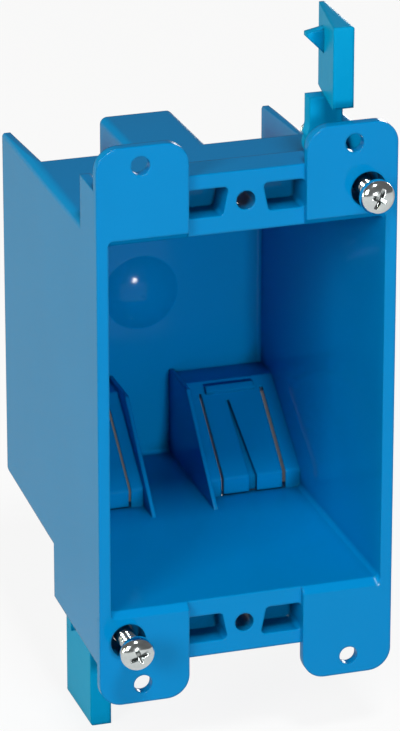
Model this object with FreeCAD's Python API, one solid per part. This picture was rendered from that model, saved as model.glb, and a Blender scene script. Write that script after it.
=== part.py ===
"""Single-gang old-work drywall box with two swing clamps and their screws, in millimetres.

The origin is the centre of the two device-screw holes, on the front of the device rails.
+X is to the right, +Y goes into the wall and +Z is up. The box is shown with both clamps swung out.
"""
import FreeCAD
import Part

import math
import os

Vector = FreeCAD.Vector

# Device rails
DEVICE_SPACING = 83.34
DEVICE_HOLE_RADIUS = 1.78
RAIL_ABOVE_SCREW = 5.73
RAIL_DEPTH = 7.0
RAIL_END_WALL = 2.0
POCKET_BELOW_SCREW = 2.47
POCKET_ABOVE_SCREW = 2.93
POCKET_DEPTH = 6.0
POCKET_CORNER = 0.8
POCKET_LOW_X = 4.3
POCKET_HIGH_X = 3.2

# Ears
EAR_PROUD = 1.3
EAR_THICKNESS = 1.8
EAR_INNER_X = 11.1
EAR_ABOVE_SCREW = 12.83
EAR_CORNER_RADIUS = 4.3
EAR_HOLE_INSET = 8.3
EAR_HOLE_ABOVE_SCREW = 9.13
EAR_HOLE_RADIUS = 1.75

# Moulded body
BODY_WIDTH = 56.8
BODY_BELOW_SCREW = 4.07
BODY_DEPTH = 68.5
BODY_EDGE_RADIUS = 1.7
DRAFT_DEG = 1.4
SIDE_WALL = 2.2
END_WALL = 1.7
BACK_WALL = 2.2
CAVITY_CORNER_RADIUS = 0.9
CAVITY_BACK_FILLET = 0.8
MOUTH_LIP = 0.5
MOUTH_LEAD = 1.2

# Webs between the ears and the body
WEB_ABOVE_SCREW = 4.73
WEB_THICKNESS = 2.15
SHORT_WEB_DEPTH = 11.0
LONG_WEB_DEPTH = 33.0

# Gate dome in the middle of the back wall
DOME_RADIUS = 7.5
DOME_HEIGHT = 2.0
DIMPLE_RADIUS = 6.6

# Cable entries
ENTRY_LEDGE_Z = 17.5
ENTRY_LEDGE_DEPTH = 6.5
ENTRY_KNEE_DEPTH = 43.3
ENTRY_KNEE_HEIGHT = 3.6
ENTRY_KNEE_RADIUS = 1.2
ENTRY_WALL = 2.0
GUSSET_TOP_Z = 16.8
GUSSET_TOP_DEPTH = 11.0
GUSSET_FOOT_DEPTH = 37.6
MIDDLE_BLOCK_HALF = 7.3
MIDDLE_BLOCK_WALL = 1.5
GUSSET_WALL = 0.8
BLOCK_EDGE_RADIUS = 1.4
FIN_WALL = 1.4
FIN_DROP = 0.9
FIN_CORNER = 0.7
CREST_DEPTH = 46.3

# Cable clamp tongue in each entry
TONGUE_INNER_X = 9.6
TONGUE_SIDE_INSET = 6.9
NARROW_SLOT = 0.5
WIDE_SLOT = 0.7
TONGUE_ROOT = 2.6
TONGUE_WALL = 1.6
TONGUE_KNEE_RADIUS = 0.8
LIP_GAP = 0.3
GROOVE_START = 4.6
GROOVE_TOP_SHIFT = 1.0
GROOVE_TOP_WIDTH = 0.5
GROOVE_LOW_WIDTH = 1.6
GROOVE_DEPTH = 0.9
HINGE_RIB_INSET = 0.9
HINGE_RIB_LENGTH = 9.8
HINGE_RIB_START = 1.5
HINGE_RIB_WIDTH = 1.5
HINGE_RIB_HEIGHT = 0.9

# Clamp screws
SCREW_INSET = 5.5
SCREW_SIZE = 3.5
SCREW_LENGTH = 38.1
UPPER_STAND_OFF = 3.7
LOWER_STAND_OFF = 5.0
HEAD_DIAMETER = 6.5
HEAD_HEIGHT = 2.4
HEAD_RIM = 1.1
HEAD_FLAT = 1.2
SCREW_TIP_CHAMFER = 0.7
RECESS_CLEARANCE = 0.1
RECESS_DEPTH = 4.0
BOSS_WALL = 1.4
BOSS_FLOOR = 3.0
SCREW_PLAY = 0.2
THREAD_PLAY = 0.05

# Swing clamps
WING_REACH = 26.7
BLADE_LOW_FRONT = 11.2
NECK_TOP = 10.7
BLADE_LENGTH = 16.0
BLADE_FRONT_WIDTH = 4.0
BLADE_BACK_WIDTH = 1.3
BLADE_OUTER_X = 1.4
BLADE_EDGE_RADIUS = 0.5
NECK_INNER = 3.9
NECK_OUTER = 2.5
NECK_THICKNESS = 3.0
NECK_SETBACK = 4.0
HUB_RADIUS = 3.1
HUB_LENGTH = 9.0
FLARE_TOP = 5.2
FLARE_LOW = 3.4
FLARE_REACH = 4.4
BARB_REACH = 4.2
BARB_TOP = 23.6
BARB_HEIGHT = 5.6
BARB_THICKNESS = 1.8
BARB_FROM_BACK = 6.0
BARB_TIP_RADIUS = 0.8
UPPER_BLADE_FRONT = 11.4
LOWER_BLADE_FRONT = 19.0

# Derived places
OVERLAP = 0.5
PARALLEL = 0.999
FRONT_Y = -EAR_PROUD
BACK_Y = FRONT_Y + BODY_DEPTH
EAR_BACK_Y = FRONT_Y + EAR_THICKNESS
CAVITY_BACK_Y = BACK_Y - BACK_WALL
SLOPE = math.tan(math.radians(DRAFT_DEG))
DEVICE_Z = DEVICE_SPACING / 2
RAIL_TOP_Z = DEVICE_Z + RAIL_ABOVE_SCREW
POCKET_BOTTOM_Z = DEVICE_Z - POCKET_BELOW_SCREW
POCKET_TOP_Z = DEVICE_Z + POCKET_ABOVE_SCREW
EAR_TOP_Z = DEVICE_Z + EAR_ABOVE_SCREW
EAR_HOLE_X = BODY_WIDTH / 2 - EAR_HOLE_INSET
EAR_HOLE_Z = DEVICE_Z + EAR_HOLE_ABOVE_SCREW
BODY_HEIGHT = DEVICE_SPACING - 2 * BODY_BELOW_SCREW
WEB_TOP_Z = DEVICE_Z + WEB_ABOVE_SCREW
WEB_INNER_X = BODY_WIDTH / 2 - WEB_THICKNESS
TONGUE_OUTER_X = BODY_WIDTH / 2 - TONGUE_SIDE_INSET
SCREW_X = BODY_WIDTH / 2 - SCREW_INSET
MOUTH_Z = BODY_HEIGHT / 2 - MOUTH_LIP
SCREW_RADIUS = SCREW_SIZE / 2
RECESS_RADIUS = HEAD_DIAMETER / 2 + RECESS_CLEARANCE
BOSS_RADIUS = RECESS_RADIUS + BOSS_WALL


def half_width(y):
    """Half of the body's outer width at depth y."""
    return BODY_WIDTH / 2 - SLOPE * (y - FRONT_Y)


def half_height(y):
    """Half of the body's outer height at depth y."""
    return BODY_HEIGHT / 2 - SLOPE * (y - FRONT_Y)


def box_between(low, high):
    """Box from its low corner to its high corner."""
    size = [b - a for a, b in zip(low, high)]
    return Part.makeBox(*size, Vector(*low))


def cylinder_y(radius, x, z, start, end):
    """Cylinder along Y between two depths."""
    return Part.makeCylinder(radius, end - start, Vector(x, start, z), Vector(0, 1, 0))


def prism(points, direction):
    """Solid swept from a closed outline of points along a direction."""
    outline = [Vector(*point) for point in points]
    wire = Part.makePolygon(outline + outline[:1])
    return Part.Face(wire).extrude(Vector(*direction))


def rounded_section(half_w, half_h, radius, y):
    """Closed rounded rectangle across Y."""
    edges = []
    corners = [(1, 1), (-1, 1), (-1, -1), (1, -1)]
    diagonal = radius * (1 - math.sqrt(0.5))
    ends = []
    for sx, sz in corners:
        x, z = sx * half_w, sz * half_h
        on_side = Vector(x, y, z - sz * radius)
        on_end = Vector(x - sx * radius, y, z)
        middle = Vector(x - sx * diagonal, y, z - sz * diagonal)
        first, last = (on_side, on_end) if sx * sz > 0 else (on_end, on_side)
        edges.append(Part.Arc(first, middle, last).toShape())
        ends.append((first, last))
    lines = [Part.makeLine(ends[i][1], ends[(i + 1) % 4][0]) for i in range(4)]
    ordered = [edge for pair in zip(edges, lines) for edge in pair]
    return Part.Wire(ordered)


def drafted_block(inset_x, inset_z, radius, start, end):
    """Solid that follows the drafted walls, set in from them, between two depths."""
    sections = []
    for y in (start, end):
        sections.append(rounded_section(half_width(y) - inset_x, half_height(y) - inset_z, radius, y))
    return Part.makeLoft(sections, True, True)


def edges_at_depth(shape, y):
    """Edges of a shape that lie wholly at one depth."""
    tolerance = 1e-6
    return [e for e in shape.Edges if all(abs(v.Y - y) < tolerance for v in e.Vertexes)]


def edges_along(shape, axis, test):
    """Straight edges of a shape along one axis whose middle passes a test."""
    found = []
    for edge in shape.Edges:
        if len(edge.Vertexes) == 2:
            run = edge.Vertexes[1].Point.sub(edge.Vertexes[0].Point)
            if abs(run.dot(axis)) > PARALLEL * run.Length and test(edge.CenterOfMass):
                found.append(edge)
    return found


def four_corners(shape):
    """A shape and its mirror images left to right and top to bottom."""
    origin = Vector(0, 0, 0)
    left = shape.mirror(origin, Vector(1, 0, 0))
    low = [s.mirror(origin, Vector(0, 0, 1)) for s in (shape, left)]
    return [shape, left] + low


def half_turn(shape):
    """A copy of a shape turned half way round Y."""
    turned = shape.copy()
    turned.rotate(Vector(0, 0, 0), Vector(0, 1, 0), 180)
    return turned


def shell():
    """Drafted outer walls with the open cavity and its lead-in at the mouth."""
    outer = drafted_block(0, 0, BODY_EDGE_RADIUS, FRONT_Y, BACK_Y)
    cavity = drafted_block(SIDE_WALL, END_WALL, CAVITY_CORNER_RADIUS, FRONT_Y, CAVITY_BACK_Y)
    cavity = cavity.makeFillet(CAVITY_BACK_FILLET, edges_at_depth(cavity, CAVITY_BACK_Y))
    lead_end = FRONT_Y + MOUTH_LEAD
    mouth = rounded_section(half_width(FRONT_Y) - SIDE_WALL, MOUTH_Z, CAVITY_CORNER_RADIUS, FRONT_Y)
    throat = rounded_section(half_width(lead_end) - SIDE_WALL, half_height(lead_end) - END_WALL,
                             CAVITY_CORNER_RADIUS, lead_end)
    lead = Part.makeLoft([mouth, throat], True, True)
    set_back = box_between((-EAR_INNER_X, FRONT_Y, 0), (EAR_INNER_X, 0, EAR_TOP_Z))
    return outer.cut([cavity, lead, set_back, half_turn(set_back)])


def ear():
    """Upper right ear plate with its nail hole."""
    plate = box_between((EAR_INNER_X, FRONT_Y, MOUTH_Z), (BODY_WIDTH / 2, EAR_BACK_Y, EAR_TOP_Z))
    top_edges = edges_along(plate, Vector(0, 1, 0), lambda p: p.z > EAR_TOP_Z - OVERLAP)
    plate = plate.makeFillet(EAR_CORNER_RADIUS, top_edges)
    hole = cylinder_y(EAR_HOLE_RADIUS, EAR_HOLE_X, EAR_HOLE_Z,
                      FRONT_Y - OVERLAP, EAR_BACK_Y + OVERLAP)
    return plate.cut(hole)


def rail():
    """Upper device rail: a block with the device-screw hole between two blind, slanted pockets."""
    reach = EAR_INNER_X + RAIL_END_WALL
    block = box_between((-reach, 0, MOUTH_Z), (reach, RAIL_DEPTH, RAIL_TOP_Z))
    outline = [(POCKET_LOW_X, POCKET_BOTTOM_Z), (EAR_INNER_X, POCKET_BOTTOM_Z),
               (EAR_INNER_X, POCKET_TOP_Z), (POCKET_HIGH_X, POCKET_TOP_Z)]
    pocket = prism([(x, -OVERLAP, z) for x, z in outline], (0, POCKET_DEPTH + OVERLAP, 0))
    corners = edges_along(pocket, Vector(0, 1, 0), lambda p: True)
    pocket = pocket.makeFillet(POCKET_CORNER, corners)
    hole = cylinder_y(DEVICE_HOLE_RADIUS, 0, DEVICE_Z, -OVERLAP, RAIL_DEPTH + OVERLAP)
    return block.cut([pocket, pocket.mirror(Vector(0, 0, 0), Vector(1, 0, 0)), hole])


def web(depth):
    """Upper right side web from the ear back along the drafted wall."""
    end = FRONT_Y + depth
    foot = half_height(end) - END_WALL
    outline = [(WEB_INNER_X, FRONT_Y, foot), (half_width(FRONT_Y), FRONT_Y, foot),
               (half_width(end), end, foot), (WEB_INNER_X, end, foot)]
    return prism(outline, (0, 0, WEB_TOP_Z - foot))


def screw_boss():
    """Upper right boss behind the ear that takes the clamp screw's head."""
    end = FRONT_Y + RECESS_DEPTH + BOSS_FLOOR
    return cylinder_y(BOSS_RADIUS, SCREW_X, DEVICE_Z, EAR_BACK_Y - OVERLAP, end)


def screw_bore():
    """Head recess and running hole of the upper right clamp screw."""
    recess_end = FRONT_Y + RECESS_DEPTH
    recess = cylinder_y(RECESS_RADIUS, SCREW_X, DEVICE_Z, FRONT_Y - OVERLAP, recess_end)
    hole_end = recess_end + BOSS_FLOOR + OVERLAP
    hole = cylinder_y(SCREW_RADIUS + SCREW_PLAY, SCREW_X, DEVICE_Z, FRONT_Y, hole_end)
    return recess.fuse(hole)


def dome_cap(base, radius, behind):
    """Round cap of the dome's height, standing forward of a base plane, with a plain rim behind it."""
    bend = (radius ** 2 + DOME_HEIGHT ** 2) / (2 * DOME_HEIGHT)
    half_angle = math.asin(radius / bend) / 2
    apex = base - DOME_HEIGHT
    middle = Vector(bend * math.sin(half_angle), apex + bend * (1 - math.cos(half_angle)), 0)
    crown = Part.Arc(Vector(0, apex, 0), middle, Vector(radius, base, 0)).toShape()
    end = base + behind
    points = [Vector(x, y, 0) for x, y in ((radius, base), (radius, end), (0, end), (0, apex))]
    lines = [Part.makeLine(a, b) for a, b in zip(points, points[1:])]
    face = Part.Face(Part.Wire([crown] + lines))
    return face.revolve(Vector(0, 0, 0), Vector(0, 1, 0), 360)


def entry_slope():
    """Ends of the sloped wall of the upper right entry, inside, as (y, z), ledge first."""
    knee_y = FRONT_Y + ENTRY_KNEE_DEPTH
    ledge = (CAVITY_BACK_Y - ENTRY_LEDGE_DEPTH, ENTRY_LEDGE_Z)
    knee = (knee_y, half_height(knee_y) - END_WALL - ENTRY_KNEE_HEIGHT)
    return ledge, knee


def slope_length():
    """Length of the sloped wall from its ledge to its knee."""
    ledge, knee = entry_slope()
    return math.hypot(knee[0] - ledge[0], knee[1] - ledge[1])


def on_slope(along, out):
    """Point (y, z) that lies along the sloped wall from its ledge and out from its inner face."""
    ledge, knee = entry_slope()
    length = slope_length()
    run = ((knee[0] - ledge[0]) / length, (knee[1] - ledge[1]) / length)
    normal = (run[1], -run[0])
    return (ledge[0] + along * run[0] + out * normal[0], ledge[1] + along * run[1] + out * normal[1])


def entry_reach():
    """Outer X of the recess, one fin wall inside the body's side at the back."""
    return half_width(BACK_Y) - FIN_WALL


def on_offset_slope(out, y=None, z=None):
    """Point (y, z) at a given depth or height on the line of the sloped wall, set out from its inner face."""
    first, second = on_slope(0, out), on_slope(1, out)
    fall = (second[1] - first[1]) / (second[0] - first[0])
    if z is None:
        return y, first[1] + (y - first[0]) * fall
    return first[0] + (z - first[1]) / fall, z


def entry_wedge():
    """Upper right wedge inside the box: a ledge, the sloped wall, a rounded knee and an upright foot."""
    low = half_height(BACK_Y) - END_WALL / 2
    ledge, knee = entry_slope()
    inner = MIDDLE_BLOCK_HALF - MIDDLE_BLOCK_WALL + GUSSET_WALL / 2
    end = CAVITY_BACK_Y + BACK_WALL / 2
    outline = [(knee[0], low), knee, ledge, (end, ENTRY_LEDGE_Z), (end, low)]
    width = entry_reach() + FIN_WALL / 2 - inner
    wedge = prism([(inner, y, z) for y, z in outline], (width, 0, 0))
    return wedge.makeFillet(ENTRY_KNEE_RADIUS, knee_edges(wedge))


def knee_edges(shape):
    """Edges along X at the knee of the sloped wall."""
    _, knee = entry_slope()
    return edges_along(shape, Vector(1, 0, 0), lambda p: math.hypot(p.y - knee[0], p.z - knee[1]) < OVERLAP)


def gusset():
    """Upper right gusset: a thin plate on the middle block's side, forward of the sloped wall."""
    low = half_height(BACK_Y) - END_WALL / 2
    foot_y = FRONT_Y + GUSSET_FOOT_DEPTH
    foot_z = half_height(foot_y) - END_WALL
    top_y = CAVITY_BACK_Y - GUSSET_TOP_DEPTH
    end = CAVITY_BACK_Y + BACK_WALL / 2
    buried_y = foot_y - (low - foot_z) * (top_y - foot_y) / (foot_z - GUSSET_TOP_Z)
    outline = [(buried_y, low), (top_y, GUSSET_TOP_Z), (end, GUSSET_TOP_Z), (end, low)]
    inner = MIDDLE_BLOCK_HALF - MIDDLE_BLOCK_WALL
    return prism([(inner, y, z) for y, z in outline], (GUSSET_WALL, 0, 0))


def recess_profile():
    """Crest, the edge below it and the inner corner (y, z) of the upper right recess outside."""
    crest_y = FRONT_Y + CREST_DEPTH
    ceiling = ENTRY_LEDGE_Z + ENTRY_WALL
    crest = (crest_y, half_height(crest_y))
    return crest, on_offset_slope(ENTRY_WALL, y=crest_y), on_offset_slope(ENTRY_WALL, z=ceiling)


def entry_recess():
    """Upper right recess outside, behind the wedge."""
    crest, turn, corner = recess_profile()
    high = half_height(FRONT_Y) + OVERLAP
    end = BACK_Y + OVERLAP
    outline = [(crest[0], high), turn, corner, (end, corner[1]), (end, high)]
    width = entry_reach() - MIDDLE_BLOCK_HALF
    return prism([(MIDDLE_BLOCK_HALF, y, z) for y, z in outline], (width, 0, 0))


def fin_trim():
    """Cut from the top of the upper right fin: a drop towards the back and a cut-off corner."""
    crest, _, _ = recess_profile()
    high = half_height(FRONT_Y) + OVERLAP
    low = half_height(BACK_Y) - FIN_DROP
    fall = (crest[1] - low) / (BACK_Y - crest[0])
    corner = [(BACK_Y - FIN_CORNER, low + fall * FIN_CORNER), (BACK_Y, low - FIN_CORNER)]
    end = BACK_Y + OVERLAP
    outline = [crest] + corner + [(end, low - FIN_CORNER), (end, high), (crest[0], high)]
    start = entry_reach() - OVERLAP
    return prism([(start, y, z) for y, z in outline], (BODY_WIDTH / 2 - start, 0, 0))


def tongue_window():
    """Window through the sloped wall, down to the box's inside, that leaves the tongue's slots."""
    crest, _, _ = recess_profile()
    _, knee = entry_slope()
    floor = knee[1] + ENTRY_KNEE_HEIGHT
    outline = [on_slope(TONGUE_ROOT, -OVERLAP), (knee[0] - OVERLAP, knee[1]), (knee[0] - OVERLAP, floor),
               (crest[0] + OVERLAP, floor), on_slope(TONGUE_ROOT, ENTRY_WALL + OVERLAP)]
    start = TONGUE_INNER_X - NARROW_SLOT
    width = TONGUE_OUTER_X + WIDE_SLOT - start
    return prism([(start, y, z) for y, z in outline], (width, 0, 0))


def tongue():
    """Springy tongue, hinged at the ledge, with an upright lip below its knee and a widening groove."""
    _, knee = entry_slope()
    root = TONGUE_ROOT - OVERLAP
    lip_end = knee[1] + ENTRY_KNEE_HEIGHT - LIP_GAP
    behind = knee[0] + TONGUE_WALL
    outline = [on_slope(root, 0), knee, (knee[0], lip_end), (behind, lip_end),
               on_offset_slope(TONGUE_WALL, y=behind), on_slope(root, TONGUE_WALL)]
    plate = prism([(TONGUE_INNER_X, y, z) for y, z in outline], (TONGUE_OUTER_X - TONGUE_INNER_X, 0, 0))
    plate = plate.makeFillet(TONGUE_KNEE_RADIUS, knee_edges(plate))
    return plate.cut(tongue_groove(lip_end))


def tongue_groove(lip_end):
    """Groove down the middle of the tongue and its lip."""
    middle = (TONGUE_INNER_X + TONGUE_OUTER_X) / 2
    _, knee = entry_slope()
    above, below = on_slope(GROOVE_START, -OVERLAP), on_slope(slope_length() + OVERLAP, -OVERLAP)
    first, second = on_slope(0, 0), on_slope(0, OVERLAP + GROOVE_DEPTH)
    through = (0, second[0] - first[0], second[1] - first[1])
    top, low = GROOVE_TOP_WIDTH / 2, GROOVE_LOW_WIDTH / 2
    start = middle - GROOVE_TOP_SHIFT
    corners = [(start - top, *above), (start + top, *above), (middle + low, *below), (middle - low, *below)]
    slot = prism(corners, through)
    drop = box_between((middle - low, knee[0] - OVERLAP, knee[1]),
                       (middle + low, knee[0] + GROOVE_DEPTH, lip_end + OVERLAP))
    return slot.fuse(drop)


def hinge_rib():
    """Raised rib across the tongue's root."""
    start, end = HINGE_RIB_START, HINGE_RIB_START + HINGE_RIB_WIDTH
    corners = [on_slope(start, -HINGE_RIB_HEIGHT), on_slope(end, -HINGE_RIB_HEIGHT),
               on_slope(end, OVERLAP), on_slope(start, OVERLAP)]
    inner = TONGUE_INNER_X + HINGE_RIB_INSET
    return prism([(inner, y, z) for y, z in corners], (HINGE_RIB_LENGTH, 0, 0))


def on_block_edge(point):
    """True on the long outer edges of the middle blocks, between the cable entries."""
    beside = abs(abs(point.x) - MIDDLE_BLOCK_HALF) < OVERLAP
    return beside and abs(abs(point.z) - half_height(point.y)) < OVERLAP


def box_body():
    """The one-piece moulded box."""
    webs = four_corners(web(SHORT_WEB_DEPTH))
    long_web = web(LONG_WEB_DEPTH)
    added = four_corners(ear()) + webs + [long_web, half_turn(long_web)]
    added += [rail(), half_turn(rail()), screw_boss(), half_turn(screw_boss())]
    added.append(dome_cap(CAVITY_BACK_Y, DOME_RADIUS, BACK_WALL / 2))
    added += four_corners(entry_wedge()) + four_corners(gusset())
    body = shell().fuse(added)
    dimple = dome_cap(BACK_Y, DIMPLE_RADIUS, OVERLAP)
    body = body.cut(four_corners(entry_recess()))
    body = body.makeFillet(BLOCK_EDGE_RADIUS, edges_along(body, Vector(0, 1, 0), on_block_edge))
    body = body.cut(four_corners(fin_trim()))
    body = body.cut([screw_bore(), half_turn(screw_bore()), dimple])
    return body.cut(four_corners(tongue_window())).fuse(four_corners(tongue()) + four_corners(hinge_rib()))


def clamp_screw(stand_off):
    """Upper clamp screw, standing off the ear: pan head and plain shank at its thread's outside size."""
    head_y = FRONT_Y - stand_off
    tip_y = head_y + SCREW_LENGTH
    rim = HEAD_DIAMETER / 2
    top = head_y - HEAD_HEIGHT
    shoulder = head_y - HEAD_RIM
    span, rise = rim - HEAD_FLAT, shoulder - top
    bend = (span ** 2 + rise ** 2) / (2 * rise)
    half_angle = math.atan2(span, bend - rise) / 2
    middle = Vector(HEAD_FLAT + bend * math.sin(half_angle), top + bend * (1 - math.cos(half_angle)), 0)
    crown = Part.Arc(Vector(rim, shoulder, 0), middle, Vector(HEAD_FLAT, top, 0)).toShape()
    profile = [(HEAD_FLAT, top), (0, top), (0, tip_y), (SCREW_RADIUS - SCREW_TIP_CHAMFER, tip_y),
               (SCREW_RADIUS, tip_y - SCREW_TIP_CHAMFER), (SCREW_RADIUS, head_y),
               (rim, head_y), (rim, shoulder)]
    points = [Vector(x, y, 0) for x, y in profile]
    lines = [Part.makeLine(a, b) for a, b in zip(points, points[1:])]
    face = Part.Face(Part.Wire(lines + [crown]))
    screw = face.revolve(Vector(0, 0, 0), Vector(0, 1, 0), 360)
    screw.translate(Vector(SCREW_X, 0, DEVICE_Z))
    return screw


def blade_inner_x(y):
    """Inner face of the blade at a depth behind its front, from the screw's axis."""
    width = BLADE_FRONT_WIDTH + (BLADE_BACK_WIDTH - BLADE_FRONT_WIDTH) * y / BLADE_LENGTH
    return BLADE_OUTER_X - width


def swing_clamp(front):
    """Upper swing clamp, swung out upwards, with the front of its blade at a depth."""
    back = BLADE_LENGTH
    plan = [(blade_inner_x(0), 0), (BLADE_OUTER_X, 0), (BLADE_OUTER_X, back), (blade_inner_x(back), back)]
    blade = prism([(x, y, NECK_TOP) for x, y in plan], (0, 0, WING_REACH - NECK_TOP))
    top = edges_along(blade, Vector(0, 1, 0), lambda p: p.z > WING_REACH - OVERLAP)
    blade = blade.makeFillet(BLADE_EDGE_RADIUS, top)
    neck_back = back - NECK_SETBACK
    neck_front = neck_back - NECK_THICKNESS
    side = -2 * NECK_INNER
    relief = prism([(side, 0, 0), (side, 0, BLADE_LOW_FRONT),
                    (side, neck_front, NECK_TOP), (side, neck_front, 0)],
                   (-2 * side, 0, 0))
    blade = blade.cut(relief)
    neck = box_between((-NECK_INNER, neck_front, 0), (NECK_OUTER, neck_back, NECK_TOP))
    flare = prism([(-NECK_INNER, neck_front, FLARE_TOP), (-FLARE_REACH, neck_front, FLARE_LOW),
                   (-HUB_RADIUS, neck_front, 0), (0, neck_front, 0), (0, neck_front, FLARE_TOP)],
                  (0, NECK_THICKNESS, 0))
    hub = cylinder_y(HUB_RADIUS, 0, 0, back - HUB_LENGTH, back)
    barb_y = back - BARB_FROM_BACK
    root = blade_inner_x(barb_y) + BLADE_BACK_WIDTH / 2
    barb = prism([(root, barb_y, BARB_TOP), (-BARB_REACH, barb_y, BARB_TOP - BARB_TIP_RADIUS),
                  (-BARB_REACH, barb_y, BARB_TOP - 2 * BARB_TIP_RADIUS),
                  (root, barb_y, BARB_TOP - BARB_HEIGHT)],
                 (0, BARB_THICKNESS, 0))
    bore = cylinder_y(SCREW_RADIUS + THREAD_PLAY, 0, 0, -OVERLAP, back + OVERLAP)
    clamp = hub.fuse([neck, flare, blade, barb]).cut(bore).removeSplitter()
    clamp.translate(Vector(SCREW_X, front, DEVICE_Z))
    return clamp


nodes = {
    "box_body": box_body(),
    "upper_clamp_screw": clamp_screw(UPPER_STAND_OFF),
    "lower_clamp_screw": half_turn(clamp_screw(LOWER_STAND_OFF)),
    "upper_swing_clamp": swing_clamp(UPPER_BLADE_FRONT),
    "lower_swing_clamp": half_turn(swing_clamp(LOWER_BLADE_FRONT)),
}

os.makedirs("parts", exist_ok=True)
for name, shape in nodes.items():
    solids = shape.Solids
    print(name, "solids", len(solids), "valid", shape.isValid(), "volume", round(shape.Volume, 1))
    part = solids[0] if len(solids) == 1 else shape
    part.exportStep(os.path.join("parts", name + ".step"))
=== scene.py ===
# %% [markdown]
# # A blue drywall box
# This lesson dresses a single-gang wall box. The box, its two swing clamps and its two screws come from a
# CAD frame, already in metres and in place. Blender gives the plastic its gloss and its soft moulded edges,
# and cuts real threads and driver recesses on the screws.

# %% Load the frame
import math

import bpy
import numpy as np
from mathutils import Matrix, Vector


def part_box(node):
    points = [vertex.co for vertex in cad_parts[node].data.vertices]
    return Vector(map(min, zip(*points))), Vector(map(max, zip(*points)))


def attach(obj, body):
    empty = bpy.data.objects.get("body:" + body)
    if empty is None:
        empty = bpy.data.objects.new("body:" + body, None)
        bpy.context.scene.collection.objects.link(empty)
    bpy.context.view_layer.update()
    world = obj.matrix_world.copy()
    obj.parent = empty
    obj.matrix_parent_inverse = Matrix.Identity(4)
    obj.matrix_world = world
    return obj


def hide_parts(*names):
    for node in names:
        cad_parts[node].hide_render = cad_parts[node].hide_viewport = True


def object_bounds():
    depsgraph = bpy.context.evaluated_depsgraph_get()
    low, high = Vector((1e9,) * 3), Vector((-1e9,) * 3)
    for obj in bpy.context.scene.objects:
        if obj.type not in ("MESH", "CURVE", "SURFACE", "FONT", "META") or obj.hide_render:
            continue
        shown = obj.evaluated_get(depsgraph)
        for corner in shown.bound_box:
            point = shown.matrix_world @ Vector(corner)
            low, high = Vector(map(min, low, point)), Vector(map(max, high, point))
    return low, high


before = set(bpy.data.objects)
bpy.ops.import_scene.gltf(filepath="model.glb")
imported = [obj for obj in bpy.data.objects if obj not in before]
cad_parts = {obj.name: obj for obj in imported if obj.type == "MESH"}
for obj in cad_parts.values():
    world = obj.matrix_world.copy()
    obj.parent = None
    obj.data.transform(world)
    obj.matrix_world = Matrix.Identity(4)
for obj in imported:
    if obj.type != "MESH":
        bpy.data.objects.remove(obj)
cad_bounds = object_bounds()
MM = 0.001
print("nodes:", sorted(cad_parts))
print("CAD box in mm:", [[round(v / MM, 1) for v in corner] for corner in cad_bounds])

# %% [markdown]
# ## The camera
# The picture was taken from the front, a little to the left and well above, with a long lens. Long lenses
# keep parallel edges nearly parallel. The place and the focal length were solved from the known spacing of
# the device screws, so the camera can be typed in as plain numbers. It looks along a direction, and +Z
# stays up.

# %% Camera
CAMERA_PLACE = Vector((-254.95, -769.63, 338.06)) * MM
CAMERA_LOOK = Vector((0.2825, 0.8828, -0.3754))
CAMERA_LENS = 237.2
SENSOR_WIDTH = 36.0
CLIP_START = 0.01

camera_data = bpy.data.cameras.new("camera")
camera_data.lens = CAMERA_LENS
camera_data.sensor_width = SENSOR_WIDTH
camera_data.clip_start = CLIP_START
camera = bpy.data.objects.new("camera", camera_data)
bpy.context.scene.collection.objects.link(camera)
camera.location = CAMERA_PLACE
camera.rotation_euler = CAMERA_LOOK.to_track_quat("-Z", "Y").to_euler()
bpy.context.scene.camera = camera
print("camera is", round(CAMERA_PLACE.length, 3), "m from the middle of the mouth")

# %% [markdown]
# ## Small tools for node trees
# A shader is a graph of nodes. These helpers add a node with its settings and join two sockets, so that
# each material below reads as a short list.

# %% Node helpers
COVER_SAMPLES = 8


def add_node(tree, kind, **settings):
    """Adds one node and sets its properties by name."""
    node = tree.nodes.new(kind)
    for name, value in settings.items():
        setattr(node, name, value)
    return node


def add_math(tree, operation, first, second):
    """Adds a Math node. Each input is a number or a socket to join."""
    node = add_node(tree, "ShaderNodeMath", operation=operation)
    for slot, value in zip(node.inputs, (first, second)):
        if isinstance(value, (int, float)):
            slot.default_value = value
        else:
            tree.links.new(value, slot)
    return node.outputs[0]


def add_noise(tree, coordinates, scale, detail):
    """Adds a Noise texture on the given coordinates and returns its value, from 0 to 1."""
    node = add_node(tree, "ShaderNodeTexNoise")
    node.inputs["Scale"].default_value = scale
    node.inputs["Detail"].default_value = detail
    tree.links.new(coordinates, node.inputs["Vector"])
    return node.outputs["Fac"]


def add_bump(tree, height, distance, strength, normal=None):
    """Adds a Bump node on a height from 0 to 1. Its strength is a number or a socket."""
    node = add_node(tree, "ShaderNodeBump")
    node.inputs["Distance"].default_value = distance
    if isinstance(strength, float):
        node.inputs["Strength"].default_value = strength
    else:
        tree.links.new(strength, node.inputs["Strength"])
    tree.links.new(height, node.inputs["Height"])
    if normal is not None:
        tree.links.new(normal, node.inputs["Normal"])
    return node.outputs["Normal"]


def add_cover(tree, reach):
    """Adds an Ambient Occlusion node: 1 in the open, towards 0 where walls within reach close in."""
    node = add_node(tree, "ShaderNodeAmbientOcclusion", samples=COVER_SAMPLES)
    node.inputs["Distance"].default_value = reach
    return node


def new_group(name, inputs, outputs):
    """Starts a node group. Inputs are (name, socket type, default) and outputs are (name, socket type)."""
    group = bpy.data.node_groups.new(name, "ShaderNodeTree")
    for label, kind, value in inputs:
        socket = group.interface.new_socket(label, in_out="INPUT", socket_type=kind)
        socket.default_value = value
    for label, kind in outputs:
        group.interface.new_socket(label, in_out="OUTPUT", socket_type=kind)
    return group, group.nodes.new("NodeGroupInput"), group.nodes.new("NodeGroupOutput")


print("node helpers are ready")

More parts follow.
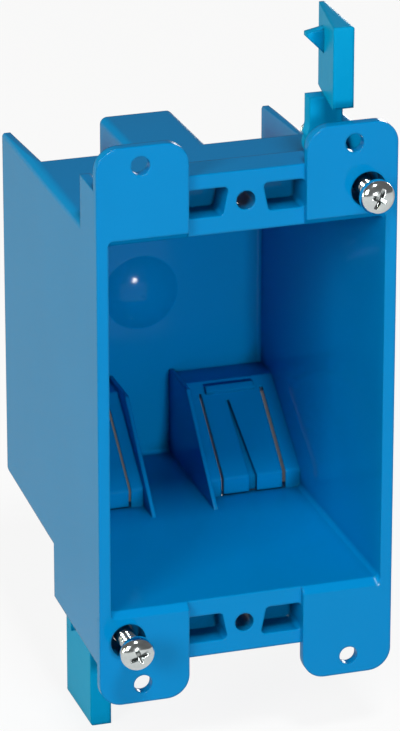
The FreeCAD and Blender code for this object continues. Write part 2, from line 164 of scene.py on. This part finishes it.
# %% [markdown]
# ## A moulded skin
# Injection-moulded plastic is nearly flat in colour, but never quite: the melt flows and cools unevenly, so
# the tint drifts a little, the gloss has cloudy patches, and broad flat walls sink by a few hundredths of a
# Narrow pockets, holes and inner corners get painted shade: their colour is mixed towards black. All of this
# belongs to every plastic piece here, so it makes one node group. The Bevel node rounds the shading at each
# edge, and the Ambient Occlusion node finds where walls close in, for the painted shade.

# %% Group: moulded skin and painted shade
BROAD_SCALE, CLOUD_SCALE, PEBBLE_SCALE = 38.0, 420.0, 2400.0
BROAD_DETAIL, CLOUD_DETAIL, PEBBLE_DETAIL = 2.0, 3.0, 1.0
SINK_DEPTH, PEBBLE_DEPTH = 0.4 * MM, 0.04 * MM
EDGE_SAMPLES = 6
# Painted shade in pockets, holes and corners: how far the occlusion looks, and the occlusion values where
# the shade starts and where it is full.
POCKET_SHADE_REACH = 6.0 * MM
POCKET_SHADE_OPEN, POCKET_SHADE_CLOSED = 0.58, 0.36
BLACK = (0.0, 0.0, 0.0, 1.0)
FIRST_COLOR, SECOND_COLOR, MIXED_COLOR = 6, 7, 2
SKIN_INPUTS = [
    ("Tint", "NodeSocketColor", (0.0, 0.25, 0.6, 1.0)),
    ("Drift", "NodeSocketFloat", 0.05),
    ("Gloss", "NodeSocketFloat", 0.15),
    ("Clouds", "NodeSocketFloat", 0.08),
    ("Sink", "NodeSocketFloat", 0.1),
    ("Pebble", "NodeSocketFloat", 0.05),
    ("Pocket Shade", "NodeSocketFloat", 0.5),
    ("Edge", "NodeSocketFloat", 0.5 * MM)]
SKIN_OUTPUTS = [
    ("Color", "NodeSocketColor"),
    ("Roughness", "NodeSocketFloat"),
    ("Normal", "NodeSocketVector")]


def skin_color_with_painted_shade(group, given, broad):
    """Tint with its value drifting by the broad noise, and painted shade: mixed towards black where walls
    close in.
    """
    drift = add_math(group, "MULTIPLY", add_math(group, "SUBTRACT", broad, 0.5), given["Drift"])
    shade = add_node(group, "ShaderNodeHueSaturation")
    group.links.new(add_math(group, "ADD", drift, 1.0), shade.inputs["Value"])
    group.links.new(given["Tint"], shade.inputs["Color"])
    # Painted shade: where occlusion finds walls close by, the colour is mixed towards black, up to the share
    # given by the group input.
    depth = add_node(group, "ShaderNodeMapRange")
    depth.inputs["From Min"].default_value = POCKET_SHADE_OPEN
    depth.inputs["From Max"].default_value = POCKET_SHADE_CLOSED
    group.links.new(add_cover(group, POCKET_SHADE_REACH).outputs["AO"], depth.inputs["Value"])
    share = add_math(group, "MULTIPLY", depth.outputs["Result"], given["Pocket Shade"])
    dark = add_node(group, "ShaderNodeMix", data_type="RGBA")
    group.links.new(share, dark.inputs["Factor"])
    group.links.new(shade.outputs["Color"], dark.inputs[FIRST_COLOR])
    dark.inputs[SECOND_COLOR].default_value = BLACK
    return dark.outputs[MIXED_COLOR]


def build_moulded_skin():
    """Tint drift, gloss clouds, sink waves, soft edges and painted shade in pockets and corners, on Object
    coordinates in metres.
    """
    group, entry, result = new_group("moulded_skin_and_painted_shade", SKIN_INPUTS, SKIN_OUTPUTS)
    given = entry.outputs
    place = add_node(group, "ShaderNodeTexCoord").outputs["Object"]
    broad = add_noise(group, place, BROAD_SCALE, BROAD_DETAIL)
    cloud = add_noise(group, place, CLOUD_SCALE, CLOUD_DETAIL)
    clouds = add_math(group, "MULTIPLY", cloud, given["Clouds"])
    edge = add_node(group, "ShaderNodeBevel", samples=EDGE_SAMPLES)
    group.links.new(given["Edge"], edge.inputs["Radius"])
    waves = add_bump(group, broad, SINK_DEPTH, given["Sink"], edge.outputs["Normal"])
    pebble = add_noise(group, place, PEBBLE_SCALE, PEBBLE_DETAIL)
    grain = add_bump(group, pebble, PEBBLE_DEPTH, given["Pebble"], waves)
    group.links.new(skin_color_with_painted_shade(group, given, broad), result.inputs["Color"])
    group.links.new(add_math(group, "ADD", given["Gloss"], clouds), result.inputs["Roughness"])
    group.links.new(grain, result.inputs["Normal"])
    return group


moulded_skin_and_painted_shade = build_moulded_skin()
print("moulded_skin_and_painted_shade has", len(moulded_skin_and_painted_shade.nodes), "nodes")

# %% [markdown]
# ## Blue plastic, twice
# The box and the clamps are moulded apart, from two batches. The box is glossy, so a Principled BSDF with a
# low roughness does the rest, and the Fresnel effect built into it whitens the long side wall, which is
# seen at a slant. The clamps are lighter, greener and duller, and their edges are rounder.

# %% Plastic materials
PLASTIC_IOR = 1.5
BOX_TINT, CLAMP_TINT = (0.0, 0.245, 0.585), (0.0, 0.325, 0.625)
BOX_FINISH = {"gloss": 0.08, "shine": 0.14, "drift": 0.10, "sink": 0.20, "edge": 0.6 * MM}
CLAMP_FINISH = {"gloss": 0.32, "shine": 0.05, "drift": 0.14, "sink": 0.06, "edge": 0.9 * MM}


def plastic(name, tint, gloss, shine, drift, sink, edge):
    """Moulded plastic: the moulded skin group feeding a Principled BSDF."""
    material = bpy.data.materials.new(name)
    material.use_nodes = True
    tree = material.node_tree
    shader = tree.nodes["Principled BSDF"]
    shader.inputs["IOR"].default_value = PLASTIC_IOR
    shader.inputs["Specular IOR Level"].default_value = shine
    skin = add_node(tree, "ShaderNodeGroup", node_tree=moulded_skin_and_painted_shade)
    skin.inputs["Tint"].default_value = (*tint, 1.0)
    skin.inputs["Gloss"].default_value = gloss
    skin.inputs["Drift"].default_value = drift
    skin.inputs["Sink"].default_value = sink
    skin.inputs["Edge"].default_value = edge
    tree.links.new(skin.outputs["Color"], shader.inputs["Base Color"])
    tree.links.new(skin.outputs["Roughness"], shader.inputs["Roughness"])
    tree.links.new(skin.outputs["Normal"], shader.inputs["Normal"])
    return material


box_blue = plastic("blue_plastic", BOX_TINT, **BOX_FINISH)
clamp_blue = plastic("blue_clamp_plastic", CLAMP_TINT, **CLAMP_FINISH)


def finish_node(name, material):
    """Gives one CAD node a single material."""
    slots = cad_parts[name].data.materials
    slots.clear()
    slots.append(material)
    print(name, "is finished in", material.name)


finish_node("box_body", box_blue)
finish_node("upper_swing_clamp", clamp_blue)
finish_node("lower_swing_clamp", clamp_blue)

# %% [markdown]
# ## Turning a screw on a grid
# A machine screw is almost a surface of revolution: a profile from the middle of the head, over its rim,
# down the shank to the tip, swept round the axis. Two things break the symmetry. The thread is a ridge
# whose phase turns with the angle, and the driver recess is pressed into the head. So the screw is one grid
# of stations along the profile by angles round the axis. The thread changes the radius, and the recess
# changes the depth. A modifier or a boolean could do this too, but the formula is shorter and leaves one
# closed skin.

# %% Screw: the profile
PITCH = 1.06 * MM
THREAD_DEPTH = 0.5 * MM
HEAD_HEIGHT = 2.4 * MM
HEAD_RIM = 0.7 * MM
HEAD_FLAT = 0.4 * MM
TIP_CHAMFER = 0.7 * MM
SHANK_RADIUS = 1.75 * MM
UNDERCUT = 0.12 * MM
NECK_SHARE = 1.3
RIM_SHARES = (0.3, 0.6, 0.92)
FLAT_RINGS, ARC_RINGS = 25, 40
STEPS_PER_TURN = 8
ANGLES = 160


def screw_profile(head_radius, length):
    """Stations (radius, depth) from the head's middle to the tip's middle, and which of them are threaded.

    The crown is a flat, then an arc r = flat + (rim - flat) sin t, depth = crown (1 - cos t), for t from 0
    to 90 degrees. The rim, the underside and the shank follow as straight runs.
    """
    crown = HEAD_HEIGHT - HEAD_RIM
    flat = np.column_stack([np.linspace(0, HEAD_FLAT, FLAT_RINGS, endpoint=False), np.zeros(FLAT_RINGS)])
    turn = np.linspace(0, math.pi / 2, ARC_RINGS)
    arc_radius = HEAD_FLAT + (head_radius - HEAD_FLAT) * np.sin(turn)
    arc = np.column_stack([arc_radius, crown * (1 - np.cos(turn))])
    rim = np.array([[head_radius, crown + HEAD_RIM * share] for share in RIM_SHARES])
    under = np.array([[head_radius - UNDERCUT, HEAD_HEIGHT], [SHANK_RADIUS * NECK_SHARE, HEAD_HEIGHT]])
    depths = np.linspace(HEAD_HEIGHT, length, int(STEPS_PER_TURN * (length - HEAD_HEIGHT) / PITCH))
    shank = np.column_stack([np.full(len(depths), SHANK_RADIUS), depths])
    stations = np.vstack([flat, arc, rim, under, shank, [[0, length]]])
    first = len(stations) - len(depths) - 1
    threaded = np.zeros(len(stations), bool)
    threaded[first:-1] = True
    return stations, threaded


print("thread pitch", round(PITCH / MM, 3), "mm")

# %% [markdown]
# ## The thread and the recess
# For the thread, a saw of the phase (depth / pitch - angle / full turn) gives a triangle wave with a small
# flat at crest and root. The recess is the combined kind that takes a cross or a flat driver: two bars that
# cross, one of them longer. A smooth step across each bar's border gives it steep walls, and the floor
# rises towards the ends.

# %% Screw: thread and recess
CROSS_REACH = 1.45 * MM
SLOT_REACH = 2.05 * MM
BAR_HALF_WIDTH = 0.36 * MM
RECESS_DEPTH = 1.25 * MM
RECESS_WALL = 0.10 * MM
RECESS_RISE = 1.25
FLANK_SLOPE, FLANK_SHIFT = 1.5, 0.25


def thread_radius(depth, angle, length):
    """Radius = outside - thread depth x (1 - clipped triangle wave), held inside the chamfer at the tip."""
    phase = (depth / PITCH - angle / (2 * math.pi)) % 1.0
    wave = 1 - np.abs(2 * phase - 1)
    ridge = np.clip(FLANK_SLOPE * wave - FLANK_SHIFT, 0, 1)
    chamfer = SHANK_RADIUS - TIP_CHAMFER + (length - depth)
    return np.minimum(SHANK_RADIUS - THREAD_DEPTH * (1 - ridge), chamfer)


def bar_depth(along, across, reach):
    """Depth of one bar: full inside its half width, rising linearly from the middle to its end."""
    side = np.clip((BAR_HALF_WIDTH - np.abs(across)) / RECESS_WALL + 0.5, 0, 1)
    floor = np.clip(RECESS_RISE * (1 - np.abs(along) / reach), 0, 1)
    return RECESS_DEPTH * side * floor


def recess_depth(x, z, turn):
    """The deeper of the cross bar and the slot bar, both turned about the axis."""
    along = x * math.cos(turn) + z * math.sin(turn)
    across = z * math.cos(turn) - x * math.sin(turn)
    return np.maximum(bar_depth(along, across, SLOT_REACH), bar_depth(across, along, CROSS_REACH))


def screw_grid(low, high, turn):
    """Vertices and faces of a screw that fills a CAD node's box, with its head towards -Y.

    x = radius cos angle, z = radius sin angle, y = depth + recess. The first and the last station have no
    radius, so each is one vertex with a fan of triangles. Quads join the rings between them, and every face
    looks outwards.
    """
    middle_x, middle_z = (low.x + high.x) / 2, (low.z + high.z) / 2
    stations, threaded = screw_profile((high.x - low.x) / 2, high.y - low.y)
    angle = np.linspace(0, 2 * math.pi, ANGLES, endpoint=False)
    radius = np.repeat(stations[:, :1], ANGLES, axis=1)
    depth = np.repeat(stations[:, 1:], ANGLES, axis=1)
    angles = np.repeat(angle[None, :], len(stations), axis=0)
    radius[threaded] = thread_radius(depth[threaded], angles[threaded], high.y - low.y)
    x, z = radius * np.cos(angles), radius * np.sin(angles)
    on_crown = depth[:, :1] < HEAD_HEIGHT - HEAD_RIM
    depth = depth + np.where(on_crown, recess_depth(x, z, turn), 0)
    points = np.stack([middle_x + x, low.y + depth, middle_z + z], axis=-1)
    rings = points[1:-1].reshape(-1, 3)
    vertices = np.vstack([rings, points[0, 0], points[-1, 0]])
    crown = np.full(ANGLES, len(rings))
    here = np.arange(ANGLES)
    there = np.roll(here, -1)
    last = len(rings) - ANGLES
    row = np.arange(0, last, ANGLES)[:, None]
    below = row + ANGLES
    quads = np.stack([row + here, below + here, below + there, row + there], axis=-1).reshape(-1, 4)
    crown_fan = np.stack([crown, here, there], axis=-1)
    tip_fan = np.stack([last + here, crown + 1, last + there], axis=-1)
    return vertices, crown_fan.tolist() + quads.tolist() + tip_fan.tolist()


print("driver recess", round(RECESS_DEPTH / MM, 2), "mm deep")

# %% [markdown]
# ## Bright plating
# Zinc plating is a thin mirror that never lies quite flat. A metallic shader needs little more than a pale
# cool grey, a low roughness that varies in streaks, and a faint ripple. The driver recess and the roots of
# the thread get painted shade: an Ambient Occlusion node darkens their base colour.

# %% Plating material
STREAK_SCALE, STREAK_DETAIL = 900.0, 4.0
ROOT_SHADE_REACH = 1.2 * MM
RIPPLE_DEPTH, RIPPLE_STRENGTH = 0.05 * MM, 0.15
DULL_ZINC, BRIGHT_ZINC = (0.68, 0.74, 0.74, 1.0), (0.92, 0.98, 0.97, 1.0)
POLISH, STREAK_ROUGHNESS = 0.08, 0.10


def bright_plating():
    """Metal with streaky gloss: noise on Object coordinates feeds roughness, tint and a small bump, and
    occlusion paints shade into the recess and the thread roots.
    """
    material = bpy.data.materials.new("plated_steel")
    material.use_nodes = True
    tree = material.node_tree
    shader = tree.nodes["Principled BSDF"]
    shader.inputs["Metallic"].default_value = 1.0
    place = add_node(tree, "ShaderNodeTexCoord").outputs["Object"]
    streaks = add_noise(tree, place, STREAK_SCALE, STREAK_DETAIL)
    tint = add_node(tree, "ShaderNodeValToRGB")
    tint.color_ramp.elements[0].color = DULL_ZINC
    tint.color_ramp.elements[1].color = BRIGHT_ZINC
    tree.links.new(streaks, tint.inputs["Fac"])
    # Painted shade: occlusion darkens the base colour in the driver recess and the thread roots.
    cover = add_cover(tree, ROOT_SHADE_REACH)
    tree.links.new(tint.outputs["Color"], cover.inputs["Color"])
    tree.links.new(cover.outputs["Color"], shader.inputs["Base Color"])
    rough = add_math(tree, "ADD", POLISH, add_math(tree, "MULTIPLY", streaks, STREAK_ROUGHNESS))
    tree.links.new(rough, shader.inputs["Roughness"])
    ripple = add_bump(tree, streaks, RIPPLE_DEPTH, RIPPLE_STRENGTH)
    tree.links.new(ripple, shader.inputs["Normal"])
    return material


plating = bright_plating()
print("plating is ready")

# %% Screws
UPPER_TURN, LOWER_TURN = 65, 22


def make_screw(name, node, body, turn_degrees):
    """Builds one threaded screw in place of its plain CAD node and lets it ride on that node's body."""
    low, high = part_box(node)
    vertices, faces = screw_grid(low, high, math.radians(turn_degrees))
    mesh = bpy.data.meshes.new(name)
    mesh.from_pydata(vertices, [], faces)
    mesh.materials.append(plating)
    mesh.polygons.foreach_set("use_smooth", np.ones(len(mesh.polygons), bool))
    screw = bpy.data.objects.new(name, mesh)
    bpy.context.scene.collection.objects.link(screw)
    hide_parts(node)
    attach(screw, body)
    print(name, "has", len(faces), "faces")
    return screw


make_screw("upper_threaded_screw", "upper_clamp_screw", "upper_screw", UPPER_TURN)
make_screw("lower_threaded_screw", "lower_clamp_screw", "lower_screw", LOWER_TURN)

# %% [markdown]
# ## Floor and light
# The box stands on a plain white floor in a dim studio. The floor and the world show themselves white to
# the camera. In mirrors and glass they show a pale grey: lightest on the floor in front, which the screw
# heads mirror, and darker behind, which the long side wall mirrors. The light on the box itself comes from
# soft lamps, and the plastic keeps its own colour.
#
# Five lamps share the work. The key hangs steeply above the front and lights the ears and the floor of the
# box, but the upper rim keeps it off the back wall and the sloped entries. The mouth light stands straight
# in front and reaches the back wall. The side fill comes in from the left and leaves the far upper corner
# of the right wall dark. The side sheen is a warmer lamp that lifts the long left wall and turns it towards
# teal. The back fill is there for whoever walks round the box.

# %% Floor
FLOOR_REACH = 4.0
FLOOR_WHITE, FLOOR_BOUNCE, FLOOR_ROUGHNESS = 0.87, 0.35, 0.9
MIRRORED_FRONT, MIRRORED_BEHIND = 0.54, 0.27
FADE_START, FADE_END = 0.0, 0.1
floor_z = cad_bounds[0][2]
corners = np.array([[-1, -1, 0], [1, -1, 0], [1, 1, 0], [-1, 1, 0]]) * FLOOR_REACH
floor_mesh = bpy.data.meshes.new("floor")
floor_mesh.from_pydata(corners + [0, 0, floor_z], [], [(0, 1, 2, 3)])
floor = bpy.data.objects.new("floor", floor_mesh)
bpy.context.scene.collection.objects.link(floor)


def shown_white(tree, to_camera, in_mirrors):
    """How white a backdrop shows itself: one share to the camera, one in mirrors and glass, else none."""
    path = add_node(tree, "ShaderNodeLightPath").outputs
    bounced = add_math(tree, "MAXIMUM", path["Is Glossy Ray"], path["Is Transmission Ray"])
    seen = add_math(tree, "MULTIPLY", path["Is Camera Ray"], to_camera)
    mirrored = add_math(tree, "MULTIPLY", bounced, in_mirrors)
    return add_math(tree, "MAXIMUM", seen, mirrored)


def mirrored_floor(tree):
    """Share of white that the floor shows in mirrors: high in front of the box, fading behind its front."""
    place = add_node(tree, "ShaderNodeSeparateXYZ")
    tree.links.new(add_node(tree, "ShaderNodeTexCoord").outputs["Object"], place.inputs[0])
    fade = add_node(tree, "ShaderNodeMapRange")
    fade.inputs["From Min"].default_value = FADE_START
    fade.inputs["From Max"].default_value = FADE_END
    fade.inputs["To Min"].default_value = MIRRORED_FRONT
    fade.inputs["To Max"].default_value = MIRRORED_BEHIND
    tree.links.new(place.outputs["Y"], fade.inputs["Value"])
    return fade.outputs["Result"]


def floor_material():
    """White paper: mostly a plain white glow where it is seen, and its diffuse part keeps the shadow.

    The diffuse part is white to the camera and grey to all other rays, so that little light bounces up.
    """
    material = bpy.data.materials.new("white_floor")
    material.use_nodes = True
    tree = material.node_tree
    shader = tree.nodes["Principled BSDF"]
    seen = add_node(tree, "ShaderNodeLightPath").outputs["Is Camera Ray"]
    tree.links.new(add_math(tree, "MAXIMUM", seen, FLOOR_BOUNCE), shader.inputs["Base Color"])
    shader.inputs["Roughness"].default_value = FLOOR_ROUGHNESS
    shader.inputs["Specular IOR Level"].default_value = 0.0
    glow = add_node(tree, "ShaderNodeEmission")
    mixer = add_node(tree, "ShaderNodeMixShader")
    tree.links.new(shown_white(tree, FLOOR_WHITE, mirrored_floor(tree)), mixer.inputs[0])
    tree.links.new(shader.outputs[0], mixer.inputs[1])
    tree.links.new(glow.outputs[0], mixer.inputs[2])
    tree.links.new(mixer.outputs[0], tree.nodes["Material Output"].inputs["Surface"])
    return material


floor_mesh.materials.append(floor_material())
print("floor at", round(floor_z / MM, 1), "mm")

# %% World
WORLD_WHITE, WORLD_MIRRORED, WORLD_FILL = 0.96, 0.12, 0.09
world = bpy.data.worlds.new("studio")
bpy.context.scene.world = world
world.use_nodes = True
sky = world.node_tree
strength = add_math(sky, "MAXIMUM", shown_white(sky, WORLD_WHITE, WORLD_MIRRORED), WORLD_FILL)
sky.nodes["Background"].inputs["Color"].default_value = (1.0, 1.0, 1.0, 1.0)
sky.links.new(strength, sky.nodes["Background"].inputs["Strength"])
print("world fill", WORLD_FILL)

# %% Lamps
WHITE_LIGHT, WARM_LIGHT = (1.0, 1.0, 1.0), (1.0, 0.97, 0.64)


def soft_lamp(name, place, size, power, color=WHITE_LIGHT):
    """Square area lamp at a place in metres, turned to the middle of the box's mouth."""
    data = bpy.data.lights.new(name, "AREA")
    data.size = size
    data.energy = power
    data.color = color
    lamp = bpy.data.objects.new(name, data)
    bpy.context.scene.collection.objects.link(lamp)
    lamp.location = place
    lamp.rotation_euler = (-Vector(place)).to_track_quat("-Z", "Y").to_euler()
    print(name, "gives", power, "W")
    return lamp


soft_lamp("key", place=(-0.05, -0.64, 1.11), size=0.25, power=7.0)
soft_lamp("mouth_light", place=(0.07, -1.26, 0.09), size=0.12, power=6.0)
soft_lamp("side_fill", place=(-1.0, -0.75, 0.50), size=0.5, power=8.2)
soft_lamp("side_sheen", place=(-1.3, 0.10, 0.15), size=0.4, power=7.2, color=WARM_LIGHT)
soft_lamp("back_fill", place=(0.8, 1.1, 0.08), size=0.5, power=8.0)

# %% [markdown]
# ## Colour output
# The view transform stays plain, so colours come out as they are written.

# %% Finish
bpy.context.scene.view_settings.view_transform = "Standard"
